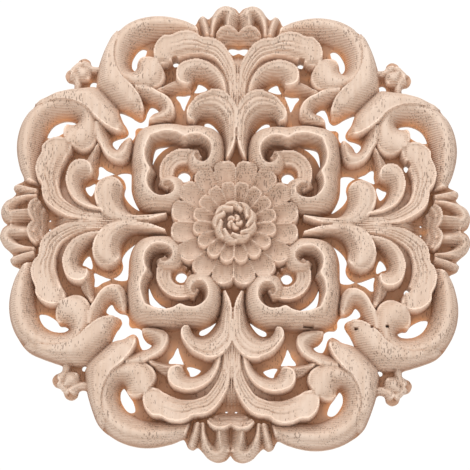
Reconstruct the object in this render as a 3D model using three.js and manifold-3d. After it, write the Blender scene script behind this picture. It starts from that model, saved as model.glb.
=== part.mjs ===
import * as THREE from 'three';
import { mergeVertices } from 'three/addons/utils/BufferGeometryUtils.js';
import Module from 'manifold-3d';

// A round pierced applique, carved from one board of pale hardwood. The back is flat and lies
// in the plane y = 0, the carving faces -Y, and +Z is up. Sizes are in millimetres.
// The design repeats eight times round the centre, so it is drawn once, in the wedge between
// the upright axis and the diagonal, and mirrored. Places and widths in the wedge are shares
// of the radius: the first number runs away from the axis, the second along it. Heights are
// shares of the thickness, measured from the back.

const DIAMETER = 150;
const THICKNESS = 12.75;
const GROUND = 2.6;
const FLOWER_PETALS = 16;
const BUD_PETALS = 9;

const RADIUS = DIAMETER / 2;
const ROOT_SHARE = 0.4;
const ROOT = GROUND * ROOT_SHARE;
const PAST = 2;
const WEDGE_REACH = 1.2;
const SLIMMEST_END_SHARE = 0.25;
const END_CROWDING = 1.25;
const DISH_SHARE = 0.6;
const RING_ANGLES = [75, -95];
const FAN_ANGLES = [135, 45];
const EDGE_STEPS = 15;
const MERGE = 1e-3;

const wasm = await Module();
wasm.setup();

// From three.js geometry to a solid and back

function toSolid(geometry) {
  const bare = geometry.clone();
  bare.deleteAttribute('normal');
  bare.deleteAttribute('uv');
  const merged = mergeVertices(bare, MERGE);
  return new wasm.Manifold(new wasm.Mesh({
    numProp: 3,
    vertProperties: new Float32Array(merged.attributes.position.array),
    triVerts: new Uint32Array(merged.index.array),
  }));
}

function toGeometry(solid) {
  const mesh = solid.getMesh();
  const geometry = new THREE.BufferGeometry();
  geometry.setAttribute('position', new THREE.BufferAttribute(mesh.vertProperties, 3));
  geometry.setIndex(new THREE.BufferAttribute(mesh.triVerts, 1));
  geometry.computeVertexNormals();
  return geometry;
}

// The joins leave specks of no volume where two copies meet. They go, and the board stays

function withoutSpecks(solid) {
  const bodies = toSolid(toGeometry(solid)).decompose();
  return bodies.reduce((best, body) => (body.volume() > best.volume() ? body : best));
}

// Plan curves. The plan lies in x and y, and the carving rises along z

function curveThrough(points, closed = false) {
  const vectors = points.map(([x, y]) => new THREE.Vector3(x, y, 0));
  return new THREE.CatmullRomCurve3(vectors, closed, 'catmullrom', 0.5);
}

function smoothLoop(points, count) {
  return curveThrough(points, true).getSpacedPoints(count).slice(0, -1).map((p) => [p.x, p.y]);
}

function smoothLine(points, count) {
  return curveThrough(points).getSpacedPoints(count).map((p) => [p.x, p.y]);
}

function arc(x, y, radius, from, to, count, endRadius = radius) {
  return Array.from({ length: count }, (_, i) => {
    const share = i / (count - 1);
    const angle = THREE.MathUtils.degToRad(from + (to - from) * share);
    const reach = radius + (endRadius - radius) * share;
    return [x + reach * Math.cos(angle), y + reach * Math.sin(angle)];
  });
}

function circle(x, y, radius, sides) {
  return arc(x, y, radius, 0, 360, sides + 1).slice(0, -1);
}

function acrossDiagonal(points) {
  return points.concat(points.map(([x, y]) => [y, x]).reverse());
}

function prism(points, bottom, top) {
  const shape = new THREE.Shape(points.map(([x, y]) => new THREE.Vector2(x * RADIUS, y * RADIUS)));
  const geometry = new THREE.ExtrudeGeometry(shape, { depth: top - bottom, bevelEnabled: false });
  geometry.translate(0, 0, bottom);
  return toSolid(geometry);
}

// A stroke is a rounded ridge along a path. left and right are its half widths, the edges and
// the crest its heights above the back, all spread along the path.

function spread(values, u) {
  const place = u * (values.length - 1);
  const i = Math.min(Math.floor(place), Math.max(values.length - 2, 0));
  const f = place - i;
  const at = (k) => values[THREE.MathUtils.clamp(k, 0, values.length - 1)];
  const slopeA = (at(i + 1) - at(i - 1)) / 2;
  const slopeB = (at(i + 2) - at(i)) / 2;
  return (2 * f ** 3 - 3 * f ** 2 + 1) * at(i) + (f ** 3 - 2 * f ** 2 + f) * slopeA
    + (3 * f ** 2 - 2 * f ** 3) * at(i + 1) + (f ** 3 - f ** 2) * slopeB;
}

function roundedEnd(u, length) {
  return u < length ? Math.sqrt(1 - (1 - u / length) ** 2) : 1;
}

function stroke({
  path, left, right = left, leftEdge, crest, rightEdge = leftEdge,
  endRound = 0, stations = 5, spans = 2,
}) {
  const curve = curveThrough(path);
  const rows = [];
  for (let i = 0; i < stations; i += 1) {
    const share = i / (stations - 1);
    const u = endRound ? 1 - (1 - share) ** END_CROWDING : share;
    const point = curve.getPointAt(u);
    const along = curve.getTangentAt(u);
    const taper = Math.max(SLIMMEST_END_SHARE, roundedEnd(1 - u, endRound));
    const leftWidth = spread(left, u) * taper;
    const rightWidth = spread(right, u) * taper;
    const row = [];
    for (let j = 0; j <= spans; j += 1) {
      const v = (2 * j) / spans - 1;
      const off = v * (v < 0 ? leftWidth : rightWidth);
      const edge = spread(v < 0 ? leftEdge : rightEdge, u);
      const top = spread(crest, u);
      row.push([point.x + off * along.y, point.y - off * along.x, top + (edge - top) * v * v]);
    }
    rows.push(row);
  }
  return loft(rows);
}

function loft(rows) {
  const positions = [];
  const index = [];
  const width = rows[0].length;
  const ring = width + 2;
  for (const row of rows) {
    for (const [x, y, height] of row) {
      positions.push(x * RADIUS, y * RADIUS, height * THICKNESS);
    }
    for (const [x, y] of [row[width - 1], row[0]]) {
      positions.push(x * RADIUS, y * RADIUS, ROOT);
    }
  }
  for (let i = 0; i < rows.length - 1; i += 1) {
    for (let j = 0; j < ring; j += 1) {
      const a = i * ring + j;
      const b = i * ring + ((j + 1) % ring);
      index.push(a, b, b + ring, a, b + ring, a + ring);
    }
  }
  const last = (rows.length - 1) * ring;
  for (let j = 1; j < ring - 1; j += 1) {
    index.push(0, j + 1, j);
    index.push(last, last + j, last + j + 1);
  }
  const geometry = new THREE.BufferGeometry();
  geometry.setAttribute('position', new THREE.Float32BufferAttribute(positions, 3));
  geometry.setIndex(index);
  return toSolid(geometry);
}

// Stem up the axis, and its three leaves curling outward from it

const STEM = {
  path: [[0, 0.345], [0, 0.765]], left: [0.006, 0.022, 0.02, 0.016],
  leftEdge: [0.65], crest: [0.74, 0.76, 0.74, 0.65], stations: 3,
};

const LEAVES = [
  {
    path: [[0.026, 0.31], [0.027, 0.395], [0.052, 0.477], [0.1, 0.521], [0.152, 0.517], [0.179, 0.478]],
    left: [0.022, 0.03, 0.045, 0.055, 0.055, 0.048, 0.045, 0.042],
    right: [0.02, 0.03, 0.045, 0.06, 0.06, 0.055, 0.045, 0.032],
    leftEdge: [0.68, 0.74, 0.79, 0.82, 0.82, 0.82, 0.76],
    crest: [0.71, 0.76, 0.79, 0.82, 0.85, 0.85, 0.79],
    rightEdge: [0.41, 0.26, 0.21, 0.21, 0.24, 0.35, 0.53],
    endRound: 0.14, stations: 6,
  },
  {
    path: [[0.03, 0.512], [0.066, 0.605], [0.116, 0.658], [0.177, 0.674], [0.229, 0.655], [0.242, 0.62]],
    left: [0.02, 0.036, 0.044, 0.044, 0.046, 0.044, 0.032],
    right: [0.02, 0.028, 0.042, 0.048, 0.042, 0.038, 0.028],
    leftEdge: [0.71, 0.76, 0.79, 0.81, 0.81, 0.79, 0.74],
    crest: [0.71, 0.74, 0.76, 0.79, 0.81, 0.79, 0.74],
    rightEdge: [0.59, 0.47, 0.26, 0.21, 0.26, 0.47, 0.59],
    endRound: 0.12, stations: 5,
  },
  {
    path: [[0.012, 0.61], [0.056, 0.718], [0.112, 0.772], [0.187, 0.797], [0.261, 0.799], [0.32, 0.774],
      [0.336, 0.724]],
    left: [0.01, 0.022, 0.032, 0.042, 0.045, 0.046, 0.042, 0.042, 0.03],
    right: [0.012, 0.02, 0.025, 0.035, 0.045, 0.048, 0.05, 0.04, 0.03],
    leftEdge: [0.71, 0.76, 0.79, 0.79, 0.79, 0.79, 0.76, 0.71],
    crest: [0.68, 0.71, 0.74, 0.75, 0.75, 0.76, 0.76, 0.71],
    rightEdge: [0.59, 0.59, 0.56, 0.53, 0.53, 0.59, 0.65],
    endRound: 0.10, stations: 6,
  },
];

// Outer scroll with the long flap that laps over it, the bracket below and its thorn

const SCROLLS = [
  {
    path: [[0.163, 0.852], [0.237, 0.868], [0.325, 0.88],
      ...arc(0.363, 0.748, 0.13, ...RING_ANGLES, 6, 0.107), [0.34, 0.656], [0.35, 0.69]],
    left: [0.042, 0.052, 0.055, 0.057, 0.056, 0.058, 0.06, 0.06, 0.058, 0.05, 0.04],
    right: [0.03, 0.046, 0.054, 0.05, 0.045, 0.04, 0.042, 0.052, 0.058, 0.045, 0.035],
    leftEdge: [0.29, 0.32, 0.32, 0.32, 0.35, 0.44, 0.53, 0.53, 0.47, 0.47],
    crest: [0.41, 0.59, 0.65, 0.65, 0.65, 0.65, 0.68, 0.71, 0.71, 0.71],
    rightEdge: [0.24], endRound: 0.10, stations: 7,
  },
  {
    path: [[0.53, 0.864], [0.56, 0.79], [0.567, 0.712], [0.55, 0.64], [0.5, 0.577], [0.452, 0.53],
      [0.417, 0.466]],
    left: [0.006, 0.025, 0.036, 0.042, 0.05, 0.053, 0.046, 0.034, 0.014],
    right: [0.006, 0.02, 0.032, 0.045, 0.052, 0.05, 0.048, 0.034, 0.014],
    leftEdge: [0.29, 0.59, 0.71, 0.76, 0.74, 0.65, 0.35],
    crest: [0.35, 0.59, 0.74, 0.79, 0.76, 0.65, 0.35],
    rightEdge: [0.24, 0.24, 0.26, 0.29, 0.32, 0.26, 0.24], stations: 5,
  },
  {
    path: [[0.445, 0.597], [0.38, 0.584], [0.328, 0.562], [0.298, 0.518], [0.304, 0.474], [0.343, 0.458]],
    left: [0.018, 0.02, 0.02, 0.032, 0.026, 0.025],
    right: [0.02, 0.036, 0.045, 0.045, 0.038, 0.035],
    leftEdge: [0.47, 0.59, 0.59, 0.5, 0.35, 0.29],
    crest: [0.59, 0.65, 0.68, 0.68, 0.65, 0.53],
    rightEdge: [0.35, 0.24, 0.21, 0.24, 0.29, 0.29], endRound: 0.10, stations: 4,
  },
  {
    path: [[0.19, 0.61], [0.268, 0.607], [0.338, 0.586]], left: [0.024, 0.018, 0.004],
    leftEdge: [0.29], crest: [0.5, 0.53, 0.5], stations: 3,
  },
];

// Frame of the corner panel, ending in a volute beside the flower, and the small leaf in it

const EYE_SHARE = 0.2215;

const PANEL = [
  {
    path: [[0.45, 0.386], [0.382, 0.386], [0.333, 0.39], [0.288, 0.395], [0.245, 0.386], [0.215, 0.37],
      [0.184, 0.38], [0.145, 0.379], [0.108, 0.352], [0.093, 0.308], [0.108, 0.262], [0.14, 0.248],
      [0.168, 0.266], [0.17, 0.292]],
    left: [0.057, 0.057, 0.055, 0.052, 0.05, 0.048, 0.044, 0.042, 0.04],
    right: [0.05, 0.044, 0.036, 0.034, 0.032, 0.03, 0.03, 0.03, 0.028, 0.026, 0.022, 0.02, 0.017, 0.015],
    leftEdge: [0.56, 0.56, 0.56, 0.56, 0.56, 0.56, 0.59, 0.59, 0.56],
    crest: [1, 1, 1, 1, 1, 0.99, 0.97, 0.91, 0.76],
    rightEdge: [0.29, 0.29, 0.32, 0.29, 0.26, 0.32, 0.41, 0.5, 0.59], stations: 9,
  },
  {
    path: arc(EYE_SHARE, EYE_SHARE, 0.074, ...FAN_ANGLES, 6), left: [0.031], right: [0.031],
    leftEdge: [0.62], crest: [0.58], rightEdge: [0.5], stations: 4,
  },
];

// Crown on the axis, with a scooped lobe rolled over at its edge, and the bud on the diagonal

const CROWN = [
  {
    path: [[0.125, 0.82], [0.142, 0.875], [0.158, 0.928]], left: [0.02, 0.022, 0.02],
    leftEdge: [0.24], crest: [0.56, 0.53, 0.41], stations: 3,
  },
  {
    path: [[0.036, 0.84], [0.034, 0.915], [0.046, 0.96], [0.078, 0.957], [0.102, 0.92], [0.115, 0.85]],
    left: [0.036, 0.036, 0.04, 0.04, 0.03, 0.02], right: [0.014],
    leftEdge: [0.21], crest: [0.59, 0.56, 0.5, 0.5, 0.53, 0.53], stations: 5,
  },
  {
    path: [[0.042, 0.785], [0.047, 0.83], [0.05, 0.87]],
    left: [0.042, 0.05, 0.046], right: [0.034, 0.048, 0.042],
    leftEdge: [0.35, 0.71, 0.76], crest: [0.35, 0.65, 0.79], endRound: 0.3, stations: 3,
  },
];

const BUD = [
  {
    path: [[0.593, 0.685], [0.633, 0.689], [0.668, 0.712]], left: [0.018, 0.018, 0.038],
    leftEdge: [0.24], crest: [0.35, 0.41, 0.47], endRound: 0.4, stations: 3,
  },
];

// Edge of the board from the axis to the diagonal, and what is pierced through it

const EDGE = [
  [0, 0.97], [0.02, 0.992], [0.055, 1], [0.09, 0.985], [0.115, 0.955], [0.135, 0.937], [0.155, 0.947],
  [0.175, 0.938], [0.188, 0.912], [0.24, 0.922], [0.30, 0.937], [0.355, 0.941], [0.41, 0.934],
  [0.46, 0.917], [0.50, 0.894], [0.53, 0.872], [0.555, 0.842], [0.575, 0.795], [0.592, 0.745],
  [0.603, 0.712], [0.618, 0.705], [0.643, 0.735], [0.665, 0.748], [0.69, 0.738], [0.708, 0.708],
];

const OPENINGS = [
  smoothLoop([[0.07, 0.408], [0.11, 0.46], [0.14, 0.475], [0.175, 0.47], [0.217, 0.495], [0.226, 0.51],
    [0.237, 0.475], [0.228, 0.447], [0.145, 0.442], [0.105, 0.427]], 9),
  smoothLoop([[0.203, 0.592], [0.232, 0.588], [0.262, 0.588], [0.264, 0.574], [0.238, 0.53], [0.229, 0.518],
    [0.212, 0.565]], 6),
  smoothLoop([[0.13, 0.615], [0.17, 0.642], [0.189, 0.603], [0.15, 0.604]], 5),
  smoothLoop([[0.388, 0.815], [0.445, 0.785], [0.463, 0.745], [0.462, 0.705], [0.448, 0.688],
    [0.435, 0.725], [0.396, 0.765]], 7),
  smoothLoop([[0.005, 0.787], [0.021, 0.796], [0.037, 0.787], [0.021, 0.778]], 4),
];

const DIAGONAL_OPENINGS = [
  smoothLoop(acrossDiagonal([[0.505, 0.507], [0.438, 0.475], [0.415, 0.466], [0.388, 0.51], [0.375, 0.532],
    [0.338, 0.512], [0.376, 0.475], [0.382, 0.448], [0.424, 0.436]]), 16),
  smoothLoop(acrossDiagonal([[0.265, 0.358], [0.33, 0.352], [0.345, 0.345]])
    .concat([[0.337, 0.305], [0.322, 0.322], [0.305, 0.337]]), 7),
  circle(EYE_SHARE, EYE_SHARE, 0.024, 6),
];

// Flower in the middle: tiers of cupped petals, one on the other, each with a raised rim that
// dips between the petals. The twist turns the inner part of a tier, as the bud's petals curl.

function tier({ petals, steps, reach, notch, rim, dish, twist = 0 }) {
  const sides = petals * steps;
  const positions = [];
  const index = [];
  const rings = [[1, ROOT / THICKNESS, 0], [1, rim, 0], [DISH_SHARE, dish, twist]];
  for (const [share, height, turn] of rings) {
    for (let i = 0; i < sides; i += 1) {
      const petal = Math.abs(Math.sin((Math.PI * i) / steps));
      const radius = reach * share * (1 - notch * share * (1 - petal)) * RADIUS;
      const angle = (2 * Math.PI * i) / sides + THREE.MathUtils.degToRad(turn);
      const dip = height > dish ? (height - dish) * notch * (1 - petal) : 0;
      positions.push(radius * Math.sin(angle), radius * Math.cos(angle), (height - dip) * THICKNESS);
    }
  }
  const centres = positions.length / 3;
  positions.push(0, 0, ROOT, 0, 0, ((dish + rim) / 2) * THICKNESS);
  for (let i = 0; i < sides; i += 1) {
    const next = (i + 1) % sides;
    for (let k = 0; k < rings.length - 1; k += 1) {
      const a = k * sides;
      index.push(a + i, a + sides + i, a + next, a + next, a + sides + i, a + sides + next);
    }
    const top = (rings.length - 1) * sides;
    index.push(centres, i, next, centres + 1, top + next, top + i);
  }
  const geometry = new THREE.BufferGeometry();
  geometry.setAttribute('position', new THREE.Float32BufferAttribute(positions, 3));
  geometry.setIndex(index);
  return toSolid(geometry);
}

const TIERS = [
  { petals: FLOWER_PETALS, steps: 3, reach: 0.272, notch: 0.13, rim: 0.79, dish: 0.62 },
  { petals: FLOWER_PETALS, steps: 3, reach: 0.178, notch: 0.13, rim: 0.86, dish: 0.7 },
  { petals: BUD_PETALS, steps: 3, reach: 0.1, notch: 0.16, rim: 0.84, dish: 0.92, twist: 30 },
];

function eighth() {
  const carving = [STEM, ...LEAVES, ...SCROLLS, ...PANEL, ...CROWN, ...BUD].map(stroke);
  const wedge = prism([[0, 0], [WEDGE_REACH, WEDGE_REACH], [0, WEDGE_REACH]], 0, THICKNESS * PAST);
  const board = prism([[0, 0], ...acrossDiagonal(smoothLine(EDGE, EDGE_STEPS))], 0, THICKNESS * PAST);
  const ground = prism([[0, 0], ...acrossDiagonal(smoothLine(EDGE, EDGE_STEPS))], 0, GROUND);
  const openings = [...OPENINGS, ...DIAGONAL_OPENINGS].map((points) => prism(points, -PAST, THICKNESS * PAST));
  return wasm.Manifold.union([ground, ...carving])
    .intersect(board)
    .intersect(wedge)
    .subtract(wasm.Manifold.union(openings));
}

function rosette() {
  const wedge = eighth();
  const pair = wedge.add(wedge.mirror([1, -1, 0]));
  const half = pair.add(pair.mirror([1, 0, 0]));
  return half.add(half.mirror([0, 1, 0])).add(wasm.Manifold.union(TIERS.map(tier)));
}

const geometry = toGeometry(withoutSpecks(rosette()));
geometry.rotateX(Math.PI / 2);
const wood = new THREE.MeshStandardMaterial({ color: 0xd9b9a0, roughness: 0.85, metalness: 0 });
const applique = new THREE.Mesh(geometry, wood);
applique.name = 'carved_rosette';

const part = new THREE.Group();
part.add(applique);

export default part;
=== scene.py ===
"""The looks of a round carved and pierced wood rosette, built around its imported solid."""

import math

import bpy
import numpy as np
from mathutils import Matrix, Vector


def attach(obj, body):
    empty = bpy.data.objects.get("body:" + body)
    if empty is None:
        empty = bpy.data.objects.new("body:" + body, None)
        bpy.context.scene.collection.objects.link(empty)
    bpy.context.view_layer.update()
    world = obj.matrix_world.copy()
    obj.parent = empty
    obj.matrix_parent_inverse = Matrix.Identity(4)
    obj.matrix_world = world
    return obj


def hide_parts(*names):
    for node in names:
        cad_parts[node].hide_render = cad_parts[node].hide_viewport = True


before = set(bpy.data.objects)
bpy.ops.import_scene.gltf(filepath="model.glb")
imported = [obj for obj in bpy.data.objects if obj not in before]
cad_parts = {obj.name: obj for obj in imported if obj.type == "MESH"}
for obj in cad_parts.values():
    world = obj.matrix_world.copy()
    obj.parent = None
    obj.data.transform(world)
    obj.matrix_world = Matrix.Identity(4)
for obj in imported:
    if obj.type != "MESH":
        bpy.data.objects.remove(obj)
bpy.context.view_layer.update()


# The blank: one round board of pale hardwood, flat at the back, on which the whole pattern is set out
# in shares of its radius. One eighth is drawn, from an upright axis to a diagonal, and turned over
# eight times. The carving is kept as a map of heights above the flat back.
RADIUS = 0.075
GROUND = 0.020
CELLS = 624
REACH = 1.04
CELL = REACH / CELLS
LEAST_AREA = 1e-9
SEAM = 1e-6
BAND_LIP_WIDTH = 0.06
BAND_LIP_FADE = 0.12
RIDGE_LIP_WIDTH = 0.12
heights = np.full((CELLS, CELLS), GROUND)
upright_leaf = np.zeros((CELLS, CELLS))
level_leaf = np.zeros((CELLS, CELLS))


def through(points, at):
    """Points of a smooth curve through the given ones, at positions from 0 to 1 along them."""
    known = np.asarray(points, float)
    count = len(known)
    padded = np.vstack([2 * known[0] - known[1], known, 2 * known[-1] - known[-2]])
    place = np.asarray(at) * (count - 1)
    first = np.clip(place.astype(int), 0, count - 2)
    f = (place - first)[:, None]
    a, b, c, d = (padded[first + k] for k in range(4))
    return 0.5 * (
        2 * b + (c - a) * f + (2 * a - 5 * b + 4 * c - d) * f**2 + (3 * b - a - 3 * c + d) * f**3
    )


def eased(values, at):
    """Numbers given at even steps along a form, taken smoothly in between."""
    known = np.atleast_1d(np.asarray(values, float))
    if len(known) == 1:
        return np.full(len(at), known[0])
    place = np.asarray(at) * (len(known) - 1)
    first = np.clip(place.astype(int), 0, len(known) - 2)
    f = place - first
    f = f * f * (3 - 2 * f)
    return known[first] * (1 - f) + known[first + 1] * f


def press(x, y, z, target=None):
    """Raises the map of heights to a sheet given as three arrays, wherever the sheet is higher."""
    target = heights if target is None else target
    gx, gy = x / CELL - 0.5, y / CELL - 0.5
    corners = [
        (a[:-1, :-1], a[1:, :-1], a[1:, 1:], a[:-1, 1:]) for a in (gx, gy, z)
    ]
    for picked in ((0, 1, 2), (0, 2, 3)):
        (ax, bx, cx), (ay, by, cy), (az, bz, cz) = (
            [c[k].ravel() for k in picked] for c in corners
        )
        low_x = np.ceil(np.minimum(np.minimum(ax, bx), cx)).astype(int)
        low_y = np.ceil(np.minimum(np.minimum(ay, by), cy)).astype(int)
        high_x = np.floor(np.maximum(np.maximum(ax, bx), cx)).astype(int)
        high_y = np.floor(np.maximum(np.maximum(ay, by), cy)).astype(int)
        area = (bx - ax) * (cy - ay) - (cx - ax) * (by - ay)
        for i in range(int((high_x - low_x).max()) + 1):
            for j in range(int((high_y - low_y).max()) + 1):
                px, py = low_x + i, low_y + j
                on = (px <= high_x) & (py <= high_y) & (np.abs(area) > LEAST_AREA)
                on &= (px >= 0) & (px < CELLS) & (py >= 0) & (py < CELLS)
                k = np.nonzero(on)[0]
                if not len(k):
                    continue
                u = ((px[k] - ax[k]) * (cy[k] - ay[k]) - (cx[k] - ax[k]) * (py[k] - ay[k])) / area[k]
                v = ((bx[k] - ax[k]) * (py[k] - ay[k]) - (px[k] - ax[k]) * (by[k] - ay[k])) / area[k]
                inside = (u >= -SEAM) & (v >= -SEAM) & (u + v <= 1 + SEAM)
                k, u, v = k[inside], u[inside], v[inside]
                level = az[k] * (1 - u - v) + bz[k] * u + cz[k] * v
                np.maximum.at(target, (py[k], px[k]), level)


def band(outer, inner, rim, crest, foot, line=None, top=0.5, rim_power=2.0, foot_power=2.0, lip=0.0,
         flutes=0, flute_depth=0.0, flute_from=0.0, flute_fade=None, bulge=0.0, target=None, along=320,
         across=61):
    """A carved band between two edge curves, rising from its rim to a crest and down to its foot.

    line is the crest's own curve where it isn't a share of the way across; lip is a thin raised edge, and
    bulge rounds the far end out on both sides of the crest."""
    u = np.linspace(0, 1, along)
    w = np.linspace(0, 1, across)
    edge, base = through(outer, u), through(inner, u)
    peak = eased(top, u)[:, None]
    ridge_line = through(line, u) if line else edge * (1 - peak) + base * peak
    up = np.clip(w / peak, 0, 1)
    down = np.clip((w - peak) / (1 - peak), 0, 1)
    x, y = (
        edge[:, k : k + 1] * (1 - up) + ridge_line[:, k : k + 1] * (up - down) + base[:, k : k + 1] * down
        for k in (0, 1)
    )
    swell = bulge * (u**4)[:, None] * (up * (1 - up) + down * (1 - down))
    onward = ridge_line[-1] - ridge_line[-2]
    onward /= np.linalg.norm(onward)
    x, y = x + swell * onward[0], y + swell * onward[1]
    z_rim, z_top, z_foot = (eased(v, u)[:, None] for v in (rim, crest, foot))
    z = z_top + (z_rim - z_top) * (1 - up) ** rim_power + (z_foot - z_top) * down**foot_power
    z = z + lip * np.exp(-((w / BAND_LIP_WIDTH) ** 2)) * np.clip((1 - u) / BAND_LIP_FADE, 0, 1)[:, None]
    if flutes:
        share = np.clip((w - flute_from) / (1 - flute_from), 0, 1)
        grooves = (1 - np.abs(np.sin(math.pi * flutes * share))) ** 1.3
        grooves = grooves * (w >= flute_from - 0.02) * (w < 0.97)
        begin, end = flute_fade or (1.5, 2.0)
        z = z - flute_depth * grooves * (1 - np.clip((u - begin) / (end - begin), 0, 1))[:, None]
    press(x, y, z, target)


def ridge(path, half, edge, crest, other=None, round_end=0.0, round_start=0.0, power=2.0, lip=0.0,
          shift=0.0, target=None, along=200, across=41):
    """A carved ridge or hollow along a line, with its half width, edge height and middle height."""
    u = np.linspace(0, 1, along)
    v = np.linspace(-1, 1, across)
    line = through(path, u)
    step = np.gradient(line, axis=0)
    step /= np.linalg.norm(step, axis=1)[:, None] + 1e-12
    left, right = eased(half, u), eased(half if other is None else other, u)
    full = np.ones(along)
    if round_end:
        full *= np.sqrt(np.clip(1 - np.clip(1 - (1 - u) / round_end, 0, 1) ** 2, 0, 1))
    if round_start:
        full *= np.sqrt(np.clip(1 - np.clip(1 - u / round_start, 0, 1) ** 2, 0, 1))
    out = np.where(v < 0, v * (left * full)[:, None], v * (right * full)[:, None])
    x = line[:, :1] + out * step[:, 1:]
    y = line[:, 1:] - out * step[:, :1]
    z_edge, z_top = eased(edge, u)[:, None], eased(crest, u)[:, None]
    z = z_top + (z_edge - z_top) * np.abs(v) ** power
    z = z + lip * np.exp(-(((1 - np.abs(v)) / RIDGE_LIP_WIDTH) ** 2))
    press(x + shift, y + shift, z, target)


# The stem and its three pairs of leaves: each leaf springs from the axis, swings over and ends in a
# lobed tip, with a thin raised rim outside and shallow flutes inside. The first pair ends in a curled
# tip on the upright axis and in a broad round one on the level axis.
LEAF_RIM = 0.006
band(
    outer=[(0.0, 0.36), (0.0, 0.50), (0.0, 0.62), (0.0, 0.70), (0.0, 0.775)],
    inner=[(0.012, 0.36), (0.03, 0.50), (0.04, 0.62), (0.045, 0.70), (0.060, 0.768)],
    rim=[0.10, 0.115, 0.118, 0.105, 0.025], crest=[0.10, 0.115, 0.115, 0.098, 0.022],
    foot=[0.10, 0.115, 0.11, 0.09, 0.02],
    flutes=3, flute_depth=0.010, flute_from=0.12,
)
band(
    outer=[(0.030, 0.290), (0.006, 0.350), (0.0, 0.440), (0.0, 0.505), (0.022, 0.545), (0.060, 0.575),
           (0.102, 0.582), (0.125, 0.572), (0.165, 0.553), (0.197, 0.517), (0.215, 0.480), (0.208, 0.450),
           (0.185, 0.438)],
    inner=[(0.048, 0.285), (0.052, 0.345), (0.062, 0.385), (0.072, 0.415), (0.087, 0.438), (0.104, 0.456),
           (0.122, 0.467), (0.135, 0.472), (0.150, 0.473), (0.162, 0.468), (0.170, 0.460), (0.174, 0.452),
           (0.177, 0.446)],
    rim=[0.11, 0.12, 0.125, 0.125, 0.13, 0.135, 0.14, 0.14, 0.14, 0.14, 0.14, 0.13, 0.12],
    crest=[0.115, 0.125, 0.13, 0.13, 0.13, 0.13, 0.13, 0.13, 0.135, 0.14, 0.145, 0.14, 0.12],
    foot=[0.06, 0.04, 0.03, 0.025, 0.02, 0.02, 0.025, 0.03, 0.04, 0.06, 0.08, 0.10, 0.11],
    top=0.30, foot_power=1.9, lip=LEAF_RIM, flutes=4, flute_depth=0.007, flute_from=0.22,
    flute_fade=(0.62, 0.88), target=upright_leaf,
)
band(
    outer=[(0.030, 0.290), (0.010, 0.350), (0.0, 0.420), (0.0, 0.480), (0.010, 0.524), (0.036, 0.560),
           (0.080, 0.587), (0.125, 0.596), (0.165, 0.585), (0.190, 0.560), (0.198, 0.530), (0.188, 0.498),
           (0.162, 0.477)],
    inner=[(0.048, 0.285), (0.045, 0.335), (0.040, 0.375), (0.038, 0.405), (0.044, 0.430), (0.058, 0.450),
           (0.078, 0.465), (0.098, 0.473), (0.115, 0.476), (0.130, 0.477), (0.140, 0.476), (0.148, 0.475),
           (0.156, 0.475)],
    rim=[0.11, 0.115, 0.12, 0.12, 0.12, 0.12, 0.118, 0.112, 0.105, 0.10, 0.10, 0.10, 0.10],
    crest=[0.115, 0.12, 0.13, 0.135, 0.135, 0.138, 0.142, 0.146, 0.146, 0.142, 0.135, 0.125, 0.11],
    foot=[0.06, 0.05, 0.045, 0.045, 0.045, 0.045, 0.05, 0.06, 0.07, 0.08, 0.09, 0.10, 0.10],
    top=0.42, rim_power=2.2, foot_power=2.0, lip=0.003, flutes=3, flute_depth=0.004, flute_from=0.30,
    flute_fade=(0.45, 0.70), target=level_leaf,
)
band(
    outer=[(0.020, 0.480), (0.042, 0.545), (0.050, 0.600), (0.063, 0.640), (0.089, 0.678), (0.130, 0.706),
           (0.176, 0.717), (0.222, 0.708), (0.252, 0.689), (0.265, 0.655), (0.258, 0.625), (0.240, 0.610),
           (0.215, 0.606)],
    inner=[(0.030, 0.475), (0.056, 0.525), (0.070, 0.565), (0.088, 0.600), (0.112, 0.624), (0.135, 0.636),
           (0.160, 0.642), (0.180, 0.640), (0.192, 0.631), (0.198, 0.624), (0.200, 0.619), (0.202, 0.616),
           (0.204, 0.613)],
    rim=[0.12, 0.125, 0.13, 0.13, 0.132, 0.135, 0.135, 0.135, 0.135, 0.13, 0.125, 0.12, 0.11],
    crest=[0.115, 0.12, 0.125, 0.125, 0.125, 0.128, 0.13, 0.13, 0.132, 0.13, 0.125, 0.12, 0.11],
    foot=[0.09, 0.08, 0.06, 0.04, 0.03, 0.025, 0.025, 0.035, 0.06, 0.08, 0.09, 0.10, 0.10],
    top=0.32, foot_power=1.7, lip=LEAF_RIM,
)
band(
    outer=[(0.0, 0.560), (0.003, 0.620), (0.010, 0.690), (0.030, 0.738), (0.060, 0.782), (0.098, 0.811),
           (0.155, 0.820), (0.176, 0.835), (0.210, 0.846), (0.250, 0.843), (0.286, 0.827), (0.325, 0.820),
           (0.356, 0.785), (0.363, 0.740), (0.340, 0.704), (0.305, 0.697)],
    inner=[(0.030, 0.500), (0.038, 0.570), (0.045, 0.620), (0.060, 0.665), (0.080, 0.700), (0.105, 0.728),
           (0.145, 0.744), (0.165, 0.747), (0.190, 0.747), (0.215, 0.743), (0.237, 0.736), (0.256, 0.729),
           (0.270, 0.723), (0.280, 0.718), (0.287, 0.714), (0.291, 0.708)],
    rim=[0.115, 0.12, 0.125, 0.13, 0.13, 0.13, 0.13, 0.13, 0.13, 0.13, 0.13, 0.128, 0.125, 0.12, 0.105, 0.07],
    crest=[0.11, 0.115, 0.12, 0.12, 0.122, 0.122, 0.122, 0.124, 0.125, 0.125, 0.125, 0.125, 0.122, 0.118,
           0.10, 0.07],
    foot=[0.10, 0.10, 0.10, 0.10, 0.10, 0.095, 0.09, 0.085, 0.08, 0.08, 0.08, 0.085, 0.09, 0.095, 0.09, 0.07],
    top=0.35, foot_power=2.4, lip=LEAF_RIM, flutes=3, flute_depth=0.008, flute_from=0.40,
    flute_fade=(0.50, 0.80),
)

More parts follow.
